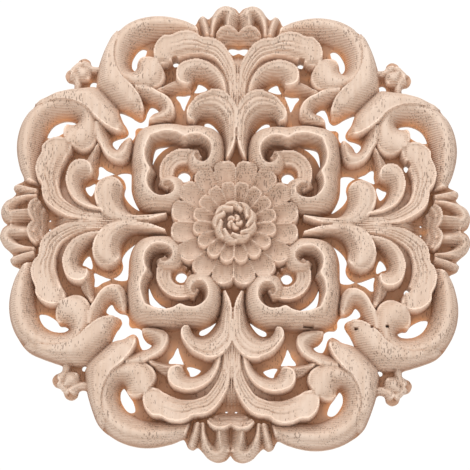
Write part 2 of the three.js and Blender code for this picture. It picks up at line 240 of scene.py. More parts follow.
ridge(
    path=[(0.045, 0.56), (0.056, 0.64), (0.086, 0.692), (0.130, 0.722), (0.180, 0.733), (0.235, 0.722)],
    half=[0.02], edge=[0.085, 0.08, 0.07, 0.055, 0.035, 0.02], crest=[0.095, 0.09, 0.075, 0.06, 0.04, 0.02],
)

# The scrolls between the leaves: a broad smooth ring runs round the oval opening to a rounded bulb, a
# pointed flap crosses it towards the diagonal, and a bracket and a thorn fill the corner below.
band(
    outer=[(0.185, 0.900), (0.24, 0.925), (0.30, 0.940), (0.355, 0.944), (0.41, 0.937), (0.46, 0.920),
           (0.505, 0.890), (0.54, 0.84), (0.565, 0.77), (0.560, 0.69), (0.525, 0.63), (0.465, 0.597),
           (0.405, 0.588), (0.352, 0.598), (0.320, 0.626), (0.313, 0.665), (0.333, 0.708)],
    inner=[(0.165, 0.83), (0.22, 0.83), (0.28, 0.83), (0.33, 0.832), (0.37, 0.826), (0.405, 0.812),
           (0.437, 0.792), (0.457, 0.765), (0.464, 0.735), (0.463, 0.705), (0.452, 0.688), (0.443, 0.692),
           (0.437, 0.705), (0.437, 0.72), (0.43, 0.732), (0.40, 0.742), (0.36, 0.735)],
    rim=[0.03, 0.03, 0.03, 0.03, 0.03, 0.03, 0.03, 0.05, 0.06, 0.07, 0.08, 0.08, 0.08, 0.08, 0.08],
    crest=[0.08, 0.10, 0.11, 0.11, 0.11, 0.11, 0.11, 0.11, 0.11, 0.11, 0.115, 0.12, 0.12, 0.12, 0.12, 0.12],
    foot=[0.03, 0.03, 0.03, 0.03, 0.03, 0.03, 0.03, 0.03, 0.03, 0.03, 0.04, 0.05, 0.07, 0.08, 0.09],
    top=[0.45, 0.45, 0.45, 0.45, 0.42, 0.40, 0.40, 0.40, 0.4, 0.4, 0.4, 0.45, 0.5, 0.5],
    rim_power=2.2, foot_power=1.6,
)
band(
    outer=[(0.525, 0.868), (0.516, 0.835), (0.531, 0.780), (0.528, 0.712), (0.497, 0.645), (0.455, 0.605),
           (0.418, 0.558), (0.400, 0.512), (0.404, 0.475)],
    inner=[(0.532, 0.874), (0.560, 0.835), (0.590, 0.76), (0.607, 0.69), (0.608, 0.608), (0.560, 0.555),
           (0.508, 0.508), (0.46, 0.492), (0.43, 0.475)],
    rim=[0.06, 0.10, 0.115, 0.125, 0.13, 0.125, 0.12, 0.10, 0.06],
    crest=[0.05, 0.09, 0.12, 0.13, 0.135, 0.13, 0.12, 0.10, 0.06],
    foot=[0.03, 0.03, 0.03, 0.03, 0.05, 0.06, 0.05, 0.04, 0.03],
    top=0.35, rim_power=2, foot_power=2.0, lip=0.004,
)
band(
    outer=[(0.440, 0.610), (0.400, 0.606), (0.365, 0.596), (0.338, 0.580), (0.310, 0.566), (0.284, 0.544),
           (0.267, 0.512), (0.266, 0.480), (0.282, 0.458), (0.312, 0.447), (0.348, 0.443), (0.378, 0.447)],
    inner=[(0.440, 0.560), (0.405, 0.545), (0.385, 0.535), (0.372, 0.531), (0.358, 0.529), (0.345, 0.522),
           (0.338, 0.512), (0.345, 0.506), (0.355, 0.500), (0.364, 0.491), (0.372, 0.480), (0.378, 0.468)],
    rim=[0.10, 0.10, 0.10, 0.10, 0.10, 0.10, 0.095, 0.085, 0.07, 0.06, 0.06, 0.06],
    crest=[0.11, 0.11, 0.11, 0.11, 0.11, 0.11, 0.11, 0.11, 0.105, 0.10, 0.09, 0.08],
    foot=[0.05, 0.03, 0.02, 0.02, 0.02, 0.02, 0.02, 0.02, 0.03, 0.04, 0.05, 0.05],
    top=[0.25, 0.25, 0.25, 0.25, 0.3, 0.35, 0.4, 0.45, 0.5], rim_power=2.0, foot_power=1.7,
)
band(
    outer=[(0.215, 0.650), (0.250, 0.650), (0.290, 0.635), (0.320, 0.614), (0.347, 0.592)],
    line=[(0.210, 0.618), (0.250, 0.617), (0.278, 0.612), (0.310, 0.603), (0.347, 0.589)],
    inner=[(0.195, 0.590), (0.230, 0.590), (0.262, 0.589), (0.300, 0.585), (0.343, 0.580)],
    rim=[0.06, 0.05, 0.05, 0.06, 0.09], crest=[0.09], foot=[0.03, 0.025, 0.025, 0.04, 0.08],
    rim_power=1.0, foot_power=1.0,
)

# The frame: a high moulded square round the flower, with a pointed corner on each diagonal and a volute
# beside each axis. Inside each corner sit a fluted fan and a collar round the small round opening.
CORNER = 0.2215


def fan_arc(radius, begin, end, count):
    """Points on an arc round the small round opening, with its angles in degrees."""
    angles = np.radians(np.linspace(begin, end, count))
    return [(CORNER + radius * math.cos(a), CORNER + radius * math.sin(a)) for a in angles]


band(
    outer=[(0.37, 0.37), (0.30, 0.385), (0.22, 0.37), (0.15, 0.37), (0.10, 0.31), (0.12, 0.25)],
    inner=[(0.30, 0.30), (0.28, 0.28), (0.26, 0.26), (0.24, 0.24), (0.23, 0.23), (0.22, 0.22)],
    rim=0.045, crest=0.04, foot=0.045,
)
band(
    outer=[(0.418, 0.418), (0.394, 0.434), (0.350, 0.444), (0.300, 0.449), (0.255, 0.449), (0.222, 0.446),
           (0.190, 0.4455), (0.145, 0.443), (0.098, 0.428), (0.062, 0.390), (0.050, 0.330), (0.055, 0.270),
           (0.085, 0.228), (0.130, 0.212), (0.185, 0.225), (0.205, 0.270), (0.195, 0.315), (0.165, 0.330)],
    line=[(0.362, 0.362), (0.345, 0.369), (0.320, 0.378), (0.290, 0.384), (0.250, 0.377), (0.219, 0.361),
          (0.190, 0.370), (0.155, 0.371), (0.122, 0.352), (0.105, 0.325), (0.105, 0.295), (0.115, 0.270),
          (0.133, 0.256), (0.152, 0.257), (0.170, 0.272), (0.177, 0.292), (0.166, 0.306), (0.153, 0.303)],
    inner=[(0.345, 0.345), (0.333, 0.352), (0.310, 0.358), (0.283, 0.360), (0.250, 0.352), (0.221, 0.338),
           (0.195, 0.346), (0.165, 0.347), (0.142, 0.338), (0.130, 0.320), (0.128, 0.300), (0.133, 0.290),
           (0.141, 0.286), (0.147, 0.287), (0.151, 0.291), (0.152, 0.296), (0.150, 0.298), (0.148, 0.298)],
    rim=[0.03, 0.03, 0.03, 0.03, 0.03, 0.03, 0.03, 0.03, 0.04, 0.05, 0.06, 0.07, 0.08, 0.09, 0.09, 0.09,
         0.09, 0.08],
    crest=[0.17, 0.17, 0.17, 0.17, 0.17, 0.17, 0.17, 0.17, 0.168, 0.165, 0.16, 0.155, 0.15, 0.147, 0.14,
           0.135, 0.125, 0.11],
    foot=[0.05, 0.05, 0.05, 0.05, 0.055, 0.06, 0.055, 0.05, 0.045, 0.045, 0.05, 0.055, 0.06, 0.07, 0.08,
          0.085, 0.09, 0.10],
    rim_power=2.6, foot_power=0.75, lip=0.003,
)
band(
    outer=fan_arc(0.104, 140, 45, 7), inner=fan_arc(0.043, 140, 45, 7),
    rim=0.105, crest=0.098, foot=0.085, top=0.3, foot_power=1.5, lip=0.005,
    flutes=3, flute_depth=0.006, flute_from=0.3,
)
band(
    outer=fan_arc(0.044, 215, 45, 9), inner=fan_arc(0.024, 215, 45, 9),
    rim=0.082, crest=0.05, foot=0.03, top=0.4, rim_power=1, foot_power=1,
)
band(
    outer=[(0.09, 0.21), (0.13, 0.215), (0.18, 0.235), (0.20, 0.28)],
    inner=[(0.13, 0.18), (0.16, 0.17), (0.2, 0.2), (0.21, 0.21)],
    rim=0.085, crest=0.06, foot=0.035,
)

# The crown on each axis, a small open flower seen from the side: a two-lobed petal in front of two
# broad rounded lobes, each with a scoop beside the petal, and a narrow pointed lobe on either side.
ridge(
    path=[(0.050, 0.84), (0.046, 0.885), (0.040, 0.925), (0.034, 0.958)],
    half=[0.050, 0.046, 0.040, 0.034], other=[0.012, 0.020, 0.030, 0.034],
    edge=[0.02, 0.02, 0.03, 0.05], crest=[0.115, 0.115, 0.10, 0.075], power=1.0,
)
ridge(
    path=[(0.028, 0.935), (0.038, 0.957), (0.057, 0.968), (0.077, 0.960), (0.095, 0.936), (0.106, 0.908),
          (0.112, 0.875), (0.114, 0.84)],
    half=[0.030, 0.030, 0.030, 0.030, 0.026, 0.020, 0.018, 0.018],
    other=[0.024, 0.032, 0.036, 0.034, 0.026, 0.018, 0.012, 0.010],
    edge=[0.025], crest=[0.08, 0.078, 0.075, 0.075, 0.08, 0.088, 0.09, 0.09], power=1.7,
)
ridge(
    path=[(0.134, 0.84), (0.145, 0.885), (0.157, 0.925), (0.162, 0.947)], half=[0.022, 0.020, 0.018, 0.010],
    edge=[0.03], crest=[0.10, 0.095, 0.08, 0.03], power=1.3,
)
band(
    outer=[(0.0, 0.796), (0.0, 0.815), (0.0, 0.835), (0.0, 0.851)],
    line=[(0.028, 0.794), (0.040, 0.822), (0.048, 0.850), (0.052, 0.870)],
    inner=[(0.048, 0.792), (0.074, 0.812), (0.092, 0.826), (0.098, 0.838)],
    rim=[0.025, 0.040, 0.070, 0.110], crest=[0.03, 0.055, 0.10, 0.138], foot=[0.03, 0.050, 0.09, 0.120],
    rim_power=1.6, foot_power=2.0, bulge=0.035, along=160,
)

# The bud on each diagonal: two round lobes on a short stalk, with a rounded body between them that
# leaves a small sunk pocket beside the ring.
ridge(
    path=[(0.595, 0.688), (0.635, 0.692), (0.672, 0.716)], half=[0.018, 0.018, 0.036],
    edge=[0.03], crest=[0.06, 0.065, 0.075], round_end=0.4,
)
ridge(path=[(0.672, 0.716), (0.700, 0.690), (0.690, 0.60)], half=[0.02], edge=[0.03], crest=[0.06])
ridge(
    path=[(0.640, 0.640), (0.665, 0.665), (0.695, 0.695)], half=[0.034, 0.044, 0.034],
    edge=[0.03, 0.035, 0.03], crest=[0.060, 0.082, 0.070], round_start=0.5, round_end=0.5,
)

# The flower in the middle: two tiers of sixteen dished petals, each with a thin rim, and a bud of nine
# small lobes turned in a spiral round a knob of five.
PETALS = 16
BUD_LOBES = 9
KNOB_LOBES = 5
for k in range(PETALS):
    turn = math.radians(90 - 360 / PETALS * (k + 0.5))
    out = np.array([math.cos(turn), math.sin(turn)])
    ridge([out * r for r in (0.14, 0.21, 0.272)], [0.028, 0.044, 0.052], [0.10, 0.118, 0.138],
          [0.075, 0.088, 0.120], round_end=0.36, lip=0.006)
    ridge([out * r for r in (0.08, 0.13, 0.178)], [0.017, 0.028, 0.034], [0.11, 0.135, 0.148],
          [0.085, 0.102, 0.128], round_end=0.36, lip=0.006)
BUD_CELLS = 90
BUD_SHIFT = BUD_CELLS * CELL
bud = np.zeros((CELLS, CELLS))
ridge([(-0.09, 0.0), (0.0, 0.0), (0.09, 0.0)], [0.09], [0.10], [0.095], round_end=0.5, round_start=0.5,
      shift=BUD_SHIFT, target=bud)
for k in range(BUD_LOBES):
    turn = math.radians(360 / BUD_LOBES * k)
    ridge(
        [(r * math.cos(turn + a), r * math.sin(turn + a))
         for a, r in ((0, 0.084), (-0.5, 0.074), (-1.1, 0.056))],
        [0.022, 0.020, 0.010], [0.112, 0.120, 0.135], [0.146, 0.158, 0.160], other=[0.016, 0.018, 0.010],
        round_start=0.45, power=1.6, shift=BUD_SHIFT, target=bud,
    )
for k in range(KNOB_LOBES):
    turn = math.radians(360 / KNOB_LOBES * k + 20)
    ridge(
        [(r * math.cos(turn + a), r * math.sin(turn + a))
         for a, r in ((0, 0.033), (-0.6, 0.023), (-1.4, 0.009))],
        [0.013, 0.012, 0.007], [0.105, 0.115, 0.13], [0.128, 0.140, 0.146], round_start=0.4,
        shift=BUD_SHIFT, target=bud,
    )

# The outline and the openings, sawn right through the board once the carving is set out. Each opening
# is drawn once and turned over, and those on a diagonal are drawn whole.
EDGE = [
    (0.0, 0.966), (0.02, 0.988), (0.055, 0.996), (0.09, 0.982), (0.115, 0.955), (0.135, 0.937),
    (0.155, 0.947), (0.175, 0.938), (0.188, 0.912), (0.20, 0.905), (0.24, 0.922), (0.30, 0.937),
    (0.355, 0.941), (0.41, 0.934), (0.46, 0.917), (0.50, 0.894), (0.53, 0.872), (0.555, 0.842),
    (0.575, 0.795), (0.592, 0.745), (0.603, 0.712), (0.618, 0.705), (0.635, 0.712), (0.643, 0.735),
    (0.665, 0.748), (0.69, 0.738), (0.70, 0.715), (0.708, 0.708),
]
OPENINGS = {
    "crescent": [(0.07, 0.408), (0.085, 0.435), (0.11, 0.46), (0.14, 0.475), (0.175, 0.47), (0.20, 0.478),
                 (0.217, 0.495), (0.226, 0.510), (0.236, 0.49), (0.237, 0.462), (0.228, 0.447), (0.19, 0.445),
                 (0.145, 0.442), (0.105, 0.427)],
    "short crescent": [(0.07, 0.408), (0.085, 0.435), (0.105, 0.457), (0.125, 0.467), (0.140, 0.462),
                       (0.138, 0.446), (0.120, 0.436), (0.096, 0.424)],
    "upper triangle": [(0.203, 0.592), (0.232, 0.588), (0.262, 0.588), (0.264, 0.574), (0.248, 0.553),
                       (0.238, 0.53), (0.229, 0.518), (0.222, 0.54), (0.212, 0.565)],
    "slit under leaf": [(0.13, 0.615), (0.145, 0.633), (0.17, 0.642), (0.178, 0.625), (0.189, 0.603),
                        (0.175, 0.598), (0.15, 0.604)],
    "crown dot": [(0.014, 0.787), (0.017, 0.791), (0.023, 0.791), (0.026, 0.787), (0.023, 0.783),
                  (0.017, 0.783)],
    "leaf dot": [(0.255, 0.726), (0.262, 0.737), (0.275, 0.738), (0.286, 0.728), (0.282, 0.717),
                 (0.266, 0.716)],
    "oval": [(0.388, 0.815), (0.415, 0.808), (0.445, 0.785), (0.463, 0.745), (0.462, 0.705), (0.448, 0.688),
             (0.437, 0.705), (0.435, 0.725), (0.412, 0.742), (0.396, 0.765), (0.386, 0.79)],
    "short oval": [(0.398, 0.790), (0.418, 0.798), (0.440, 0.782), (0.460, 0.745), (0.461, 0.712),
                   (0.449, 0.695), (0.438, 0.708), (0.425, 0.728), (0.408, 0.752)],
}
STAR = [(0.505, 0.507), (0.46, 0.49), (0.438, 0.475), (0.415, 0.466), (0.397, 0.48), (0.388, 0.51),
        (0.375, 0.532), (0.355, 0.53), (0.338, 0.512), (0.36, 0.497), (0.376, 0.475), (0.382, 0.448),
        (0.40, 0.437), (0.424, 0.436)]
SLOT = [(0.265, 0.358), (0.30, 0.357), (0.33, 0.352), (0.345, 0.345), (0.352, 0.33), (0.357, 0.30),
        (0.358, 0.265), (0.348, 0.285), (0.337, 0.305), (0.322, 0.322), (0.305, 0.337), (0.285, 0.348)]
CROWN_GAP = [(0.0, 0.803), (0.020, 0.807), (0.038, 0.806), (0.046, 0.798), (0.038, 0.784), (0.024, 0.772),
             (0.010, 0.777), (0.0, 0.781)]
ROUND_HOLES = [(CORNER, 0.215, 0.029), (CORNER, -CORNER, 0.025), (0.623, 0.627, 0.018),
               (0.615, -0.615, 0.012)]
LOOP_STEPS = 8
TOP, LEFT, BOTTOM, RIGHT = range(4)
ONLY_IN = {
    "crescent": (LEFT, RIGHT), "short crescent": (TOP, BOTTOM),
    "oval": (LEFT, RIGHT), "short oval": (TOP, BOTTOM),
    "crown dot": (LEFT, BOTTOM, RIGHT), "leaf dot": (TOP, RIGHT),
}

# Flaws in the wood, at the lower right: a split across the frame and three small pits, each given as
# the place of its middle and its half sizes. In six spots the floor is thin enough for light to come
# through, and that light is painted on as a glow, each spot given as its middle and its width.
SPLITS = [(0.314, -0.4325, 0.021, 0.0045), (0.512, -0.441, 0.006, 0.005), (0.577, -0.433, 0.006, 0.006),
          (0.640, -0.431, 0.005, 0.005)]
SPLIT_DEPTH = 0.06
THIN_SPOTS = [(0.297, 0.670, 0.020), (0.799, -0.010, 0.015), (0.229, 0.455, 0.015), (0.356, -0.295, 0.014),
              (0.290, -0.348, 0.012), (-0.635, 0.641, 0.012)]


def loop_through(points, steps):
    """A smooth closed curve through the given points."""
    known = np.asarray(points, float)
    ring = np.vstack([known[-2:], known, known[:3]])
    count = len(known)
    at = (np.arange(count * steps) / steps + 2) / (len(ring) - 1)
    return through(ring, at)


def round_hole(x, y, radius, count=28):
    """A circle as a closed loop of points."""
    angles = np.linspace(0, 2 * math.pi, count, endpoint=False)
    return np.column_stack([x + radius * np.cos(angles), y + radius * np.sin(angles)])


def eighths(loop):
    """The eight copies of a loop of the drawn eighth, all wound the same way."""
    copies = []
    for quarter in range(4):
        c, s = round(math.cos(quarter * math.pi / 2)), round(math.sin(quarter * math.pi / 2))
        turned = loop @ np.array([[c, s], [-s, c]])
        copies += [turned, turned[::-1] * (-1, 1) if quarter % 2 == 0 else turned[::-1] * (1, -1)]
    return copies


def quarters(loop):
    """The four copies of a loop that is whole on its diagonal."""
    copies = []
    for quarter in range(4):
        c, s = round(math.cos(quarter * math.pi / 2)), round(math.sin(quarter * math.pi / 2))
        copies.append(loop @ np.array([[c, s], [-s, c]]))
    return copies


def counter_clockwise(loop):
    """The loop, turned round if it runs clockwise."""
    x, y = loop[:, 0], loop[:, 1]
    area = (x * np.roll(y, -1) - y * np.roll(x, -1)).sum()
    return loop if area > 0 else loop[::-1]


half_edge = through(EDGE, np.linspace(0, 1, LOOP_STEPS * len(EDGE)))
corner_edge = np.vstack([half_edge, half_edge[::-1, ::-1][1:]])[:-1]
outline = np.vstack(quarters(corner_edge)[::-1])
holes = []
for name, loop in OPENINGS.items():
    copies = eighths(loop_through(loop, LOOP_STEPS))
    holes += [copy for place, copy in enumerate(copies) if place // 2 in ONLY_IN.get(name, range(4))]
whole_star = STAR + [(y, x) for x, y in STAR[:0:-1]]
holes += quarters(loop_through(whole_star, LOOP_STEPS)) + quarters(loop_through(SLOT, LOOP_STEPS))
holes.append(loop_through(CROWN_GAP + [(-x, y) for x, y in CROWN_GAP[-2:0:-1]], LOOP_STEPS))
for x, y, radius in ROUND_HOLES:
    holes += [round_hole(x, y, radius), round_hole(-x, y, radius)]


# The board as one solid: the map of heights, turned over eight times, is its face, the back is flat,
# and the outline and the openings are cut through it. Wherever the carving drops steeply, its upper
# edge keeps a thin raised lip.
EDGE_DROP = 0.018
EDGE_TOP = 0.014
EDGE_LIP = 0.0035
HIGHEST = 0.1705
STRAIGHT, SLANTED = 6, 4
CUT_FRONT, CUT_BACK = -0.03, 0.01
SHARP_ANGLE = math.radians(50)


def new_object(name, verts, faces, sizes):
    """A mesh object from arrays: corner points, face corners in a row, and the corners of each face."""
    mesh = bpy.data.meshes.new(name)
    mesh.vertices.add(len(verts))
    mesh.vertices.foreach_set("co", np.asarray(verts, np.float32).ravel())
    mesh.loops.add(len(faces))
    mesh.loops.foreach_set("vertex_index", np.asarray(faces, np.int32))
    mesh.polygons.add(len(sizes))
    starts = np.concatenate([[0], np.cumsum(sizes)[:-1]])
    mesh.polygons.foreach_set("loop_start", starts.astype(np.int32))
    mesh.update(calc_edges=True)
    made = bpy.data.objects.new(name, mesh)
    bpy.context.scene.collection.objects.link(made)
    return made


def prisms(name, loops, front, back):
    """Upright prisms on closed loops, from y = front to y = back, as one object."""
    verts, faces, sizes, base = [], [], [], 0
    for loop in loops:
        ring = counter_clockwise(np.asarray(loop)) * RADIUS
        n = len(ring)
        for y in (front, back):
            verts.append(np.column_stack([ring[:, 0], np.full(n, y), ring[:, 1]]))
        around = np.arange(n)
        after = np.roll(around, -1)
        faces.append(base + around)
        faces.append(base + n + around[::-1])
        sizes += [n, n] + [4] * n
        faces.append((base + np.column_stack([around, around + n, after + n, after])).ravel())
        base += 2 * n
    return new_object(name, np.vstack(verts), np.concatenate(faces), sizes)


def cut(solid, tool, operation):
    """Joins, keeps or takes away the tool's space, and deletes the tool."""
    change = solid.modifiers.new("cut", "BOOLEAN")
    change.operation = operation
    change.solver = "MANIFOLD"
    change.object = tool
    keep_result(solid)
    bpy.data.objects.remove(tool)


def keep_result(solid):
    """Makes the modified mesh the object's own."""
    shaped = bpy.data.meshes.new_from_object(solid.evaluated_get(bpy.context.evaluated_depsgraph_get()))
    solid.modifiers.clear()
    solid.data = shaped


side = np.arange(CELLS)
low, high = np.minimum.outer(side, side), np.maximum.outer(side, side)
is_upright = side[:, None] >= side[None, :]
first_leaf = np.where(is_upright, upright_leaf[high, low], level_leaf[high, low])
quarter_map = np.maximum(heights[high, low], first_leaf)
upper = np.hstack([quarter_map[:, ::-1], quarter_map])
full_map = np.vstack([upper[::-1], upper])
near_middle = slice(CELLS - BUD_CELLS, CELLS + BUD_CELLS)
full_map[near_middle, near_middle] = np.maximum(
    full_map[near_middle, near_middle], bud[: 2 * BUD_CELLS, : 2 * BUD_CELLS]
)
lowest, highest = full_map.copy(), full_map.copy()
for down, across in (
    (STRAIGHT, 0), (-STRAIGHT, 0), (0, STRAIGHT), (0, -STRAIGHT),
    (SLANTED, SLANTED), (SLANTED, -SLANTED), (-SLANTED, SLANTED), (-SLANTED, -SLANTED),
):
    moved = np.roll(full_map, (down, across), (0, 1))
    np.minimum(lowest, moved, out=lowest)
    np.maximum(highest, moved, out=highest)
brink = np.clip((full_map - lowest - EDGE_DROP) / EDGE_DROP, 0, 1)
brink *= np.clip(1.5 - (highest - full_map) / EDGE_TOP, 0, 1)
full_map = np.minimum(full_map + EDGE_LIP * brink, HIGHEST)
for x, y, half_x, half_y in SPLITS:
    rows = slice(round((y - half_y + REACH) / CELL), round((y + half_y + REACH) / CELL))
    columns = slice(round((x - half_x + REACH) / CELL), round((x + half_x + REACH) / CELL))
    full_map[rows, columns] -= SPLIT_DEPTH
face_map = full_map.reshape(CELLS, 2, CELLS, 2).mean(axis=(1, 3))
brink_map = brink.reshape(CELLS, 2, CELLS, 2).mean(axis=(1, 3))

steps = (np.arange(CELLS) + 0.5) * 2 * CELL - REACH
grid_x, grid_y = np.meshgrid(steps, steps)
face = np.column_stack([grid_x.ravel(), -face_map.ravel(), grid_y.ravel()]) * RADIUS
index = np.arange(CELLS * CELLS).reshape(CELLS, CELLS)
quads = np.stack([index[:-1, :-1], index[:-1, 1:], index[1:, 1:], index[1:, :-1]], -1).reshape(-1, 4)
border = np.concatenate([index[0, :-1], index[:-1, -1], index[-1, :0:-1], index[:0:-1, 0]])
back_ring = face[border] * (1, 0, 1)
count, ring_size = len(face), len(border)
ring_index = count + np.arange(ring_size)
ring_next = np.roll(ring_index, -1)
walls = np.column_stack([border, ring_index, ring_next, np.roll(border, -1)])
middle = count + ring_size
fans = np.column_stack([ring_index, np.full(ring_size, middle), ring_next])
rosette = new_object(
    "rosette_carving",
    np.vstack([face, back_ring, [[0.0, 0.0, 0.0]]]),
    np.concatenate([quads.ravel(), walls.ravel(), fans.ravel()]),
    [4] * (len(quads) + len(walls)) + [3] * len(fans),
)
cut(rosette, prisms("outline_tool", [outline], CUT_FRONT, CUT_BACK), "INTERSECT")
cut(rosette, prisms("opening_tool", holes, CUT_FRONT, CUT_BACK), "DIFFERENCE")

FINEST = 190_000
thinner = rosette.modifiers.new("thinner", "DECIMATE")
rosette.data.calc_loop_triangles()
thinner.ratio = min(1.0, FINEST / len(rosette.data.loop_triangles))
keep_result(rosette)
rosette.data.shade_smooth()
rosette.data.set_sharp_from_angle(angle=SHARP_ANGLE)


# The finish: bare, unsanded hardwood. Its grain runs upright, with short dark pores along it and fine tool
# lines on the slopes. Painted onto it are shade in the tool lines' grooves and down in the hollows, warmed
# by bounce light, highlights on the rims, and a glow on the walls of the openings.
class Tone:
    """A socket of the finish's nodes, so that sums of tones are written as plain expressions."""

    tree = None

    def __init__(self, socket):
        self.socket = socket

    @classmethod
    def node(cls, kind, settings=None, sockets=None, output=0):
        """Adds one node, with its settings set first and then its sockets' values or links."""
        made = cls.tree.nodes.new(kind)
        for name, value in (settings or {}).items():
            setattr(made, name, value)
        by_id = {s.identifier: s for s in made.inputs}
        for name, value in (sockets or {}).items():
            socket = by_id.get(name) or made.inputs[name]
            if isinstance(value, Tone):
                cls.tree.links.new(value.socket, socket)
            else:
                socket.default_value = value
        outputs = {s.identifier: s for s in made.outputs}
        return cls(outputs.get(output) or made.outputs[output]) if outputs else made

    @classmethod
    def sum_of(cls, operation, first, second=0.0):
        """One Math node on numbers or tones."""
        made = cls.tree.nodes.new("ShaderNodeMath")
        made.operation = operation
        for socket, value in zip(made.inputs, (first, second)):
            if isinstance(value, Tone):
                cls.tree.links.new(value.socket, socket)
            else:
                socket.default_value = value
        return cls(made.outputs[0])

    def __add__(self, other):
        return self.sum_of("ADD", self, other)

    def __mul__(self, other):
        return self.sum_of("MULTIPLY", self, other)

    def __sub__(self, other):
        return self.sum_of("SUBTRACT", self, other)

    def __rsub__(self, other):
        return self.sum_of("SUBTRACT", other, self)

    __radd__ = __add__

    def between(self, low, high):
        """0 below low, 1 above high and smooth in between; low may be the larger."""
        return self.node(
            "ShaderNodeMapRange", {"interpolation_type": "SMOOTHSTEP"},
            {"Value": self, "From Min": low, "From Max": high},
        )


def shade(factor, first, second):
    """Two colours mixed by a tone."""
    return Tone.node(
        "ShaderNodeMix", {"data_type": "RGBA"},
        {"Factor_Float": factor, "A_Color": first, "B_Color": second}, "Result_Color",
    )


def stretched(place, across, upright):
    """The place on the wood, in steps of the given sizes in metres, across the grain and along it."""
    return Tone.node(
        "ShaderNodeVectorMath", {"operation": "MULTIPLY"},
        {0: place, 1: (1 / across, 1 / across, 1 / upright)},
    )


def noise(across, upright, detail):
    """Soft noise in spots of the given sizes in metres."""
    sockets = {"Vector": stretched(place, across, upright), "Scale": 1.0, "Detail": detail}
    return Tone.node("ShaderNodeTexNoise", None, sockets)


def spots(across, upright):
    """The distance from the nearest of many scattered points, in steps of the given sizes in metres."""
    return Tone.node(
        "ShaderNodeTexVoronoi", None, {"Vector": stretched(place, across, upright), "Scale": 1.0}
    )


def painted(name):
    """A tone stored at the mesh's points."""
    return Tone.node("ShaderNodeAttribute", {"attribute_name": name}, output="Fac")


PALE_WOOD = (0.80, 0.635, 0.52, 1)
DEEP_WOOD = (0.69, 0.505, 0.385, 1)
PORE = (0.16, 0.08, 0.05, 1)
HOLLOW_SHADE = (0.36, 0.18, 0.105, 1)
TOOL_GROOVE_SHADE = (0.52, 0.31, 0.205, 1)
RIM_HIGHLIGHT = (1.0, 0.80, 0.66, 1)
EDGE_GLOW = (0.90, 0.45, 0.20, 1)
NO_GLOW = (0, 0, 0, 1)
TOOL_STEP = 0.0007
LINE_DEPTH = 0.00012
PORE_DEPTH = 0.0001
GRAIN_DEPTH = 0.00004

wood = bpy.data.materials.new("carved_wood")
wood.use_nodes = True
wood.node_tree.nodes.clear()
Tone.tree = wood.node_tree
place = Tone.node("ShaderNodeTexCoord", output="Object")
streaks = noise(0.0011, 0.02, 4.0)
broad = noise(0.012, 0.05, 2.0)
pore_size = noise(0.007, 0.02, 2.0).between(0.36, 0.64) * 0.15 + 0.13
pores = (pore_size - spots(0.00068, 0.0032)).between(-0.03, 0.05)
specks = (pore_size - spots(0.00065, 0.0012)).between(-0.03, 0.05)
dark = Tone.sum_of("MAXIMUM", pores, specks * 0.8)
hollow_shade, rim, glow = painted("hollow_shade"), painted("rim"), painted("glow")
height = Tone.node("ShaderNodeSeparateXYZ", None, {"Vector": place}, "Z")
sway = noise(0.02, 0.02, 1.0)
lines = Tone.sum_of("SINE", height * (2 * math.pi / TOOL_STEP) + sway * 6.0)
normal = Tone.node("ShaderNodeNewGeometry", output="Normal")
facing = Tone.node("ShaderNodeSeparateXYZ", None, {"Vector": normal}, "Y")
steep = (facing + 1.0).between(0.02, 0.35) * facing.between(0.95, 0.7)
colour = shade((streaks * 0.6 + broad * 0.5).between(0.35, 0.80), PALE_WOOD, DEEP_WOOD)
# Painted shade: the hollows turn a darker, warm brown where shade falls and the wood's bounce light gathers.
colour = shade(hollow_shade * 0.85, colour, HOLLOW_SHADE)
# Painted glow: the walls beside the openings and the thin floor take an orange glow of light coming through
# the wood.
colour = shade(glow * 0.75, colour, EDGE_GLOW)
# Painted shade in the grooves of the tool lines on the slopes.
colour = shade((0.5 - lines * 0.5) * steep * 0.34, colour, TOOL_GROOVE_SHADE)
colour = shade(dark * 0.62, colour, PORE)
# Painted highlight: a bright line along the rims where the carving drops steeply.
colour = shade(rim * 0.75, colour, RIM_HIGHLIGHT)
relief = lines * steep * LINE_DEPTH - dark * PORE_DEPTH + streaks * GRAIN_DEPTH
bump = Tone.node("ShaderNodeBump", None, {"Strength": 0.8, "Distance": 1.0, "Height": relief})
# The painted glow and the painted rim highlight are also given out as a weak emission.
light = shade(rim * 0.6, shade(glow, NO_GLOW, EDGE_GLOW), RIM_HIGHLIGHT)
skin = Tone.node(
    "ShaderNodeBsdfPrincipled", None,
    {
        "Base Color": colour, "Roughness": 0.75 + dark * 0.15, "Normal": bump, "IOR": 1.45,
        "Emission Color": light, "Emission Strength": 0.16,
    },
)
Tone.node("ShaderNodeOutputMaterial", None, {"Surface": skin})
rosette.data.materials.clear()
rosette.data.materials.append(wood)
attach(rosette, "root")
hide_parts("carved_rosette")

# How deep each point lies below its surroundings, and how sharply it stands up from them, read off the
# map of heights, so that the finish can paint shade into the hollows and highlights onto the rims; nearness
# to the openings and the thin floor set a painted glow. The flat back stays plain.
NEARBY = 11
NEAR_OPENING = 6
HOLLOW_START, HOLLOW_SPAN = 0.010, 0.042
RIM_DEPTH = 0.02
FLOOR_GLOW = 0.2
BACK_DEPTH = 0.002


def softened(values, width):
    """The map blurred over a width in cells, by three passes of a moving mean each way."""
    out = values
    for axis in (0, 1):
        for _ in range(3):
            pad = [(0, 0), (0, 0)]
            pad[axis] = (width + 1, width)
            total = np.cumsum(np.pad(out, pad, mode="edge"), axis=axis)
            take = [slice(None), slice(None)]
            drop = [slice(None), slice(None)]
            take[axis], drop[axis] = slice(2 * width + 1, None), slice(None, -2 * width - 1)
            out = (total[tuple(take)] - total[tuple(drop)]) / (2 * width + 1)
    return out


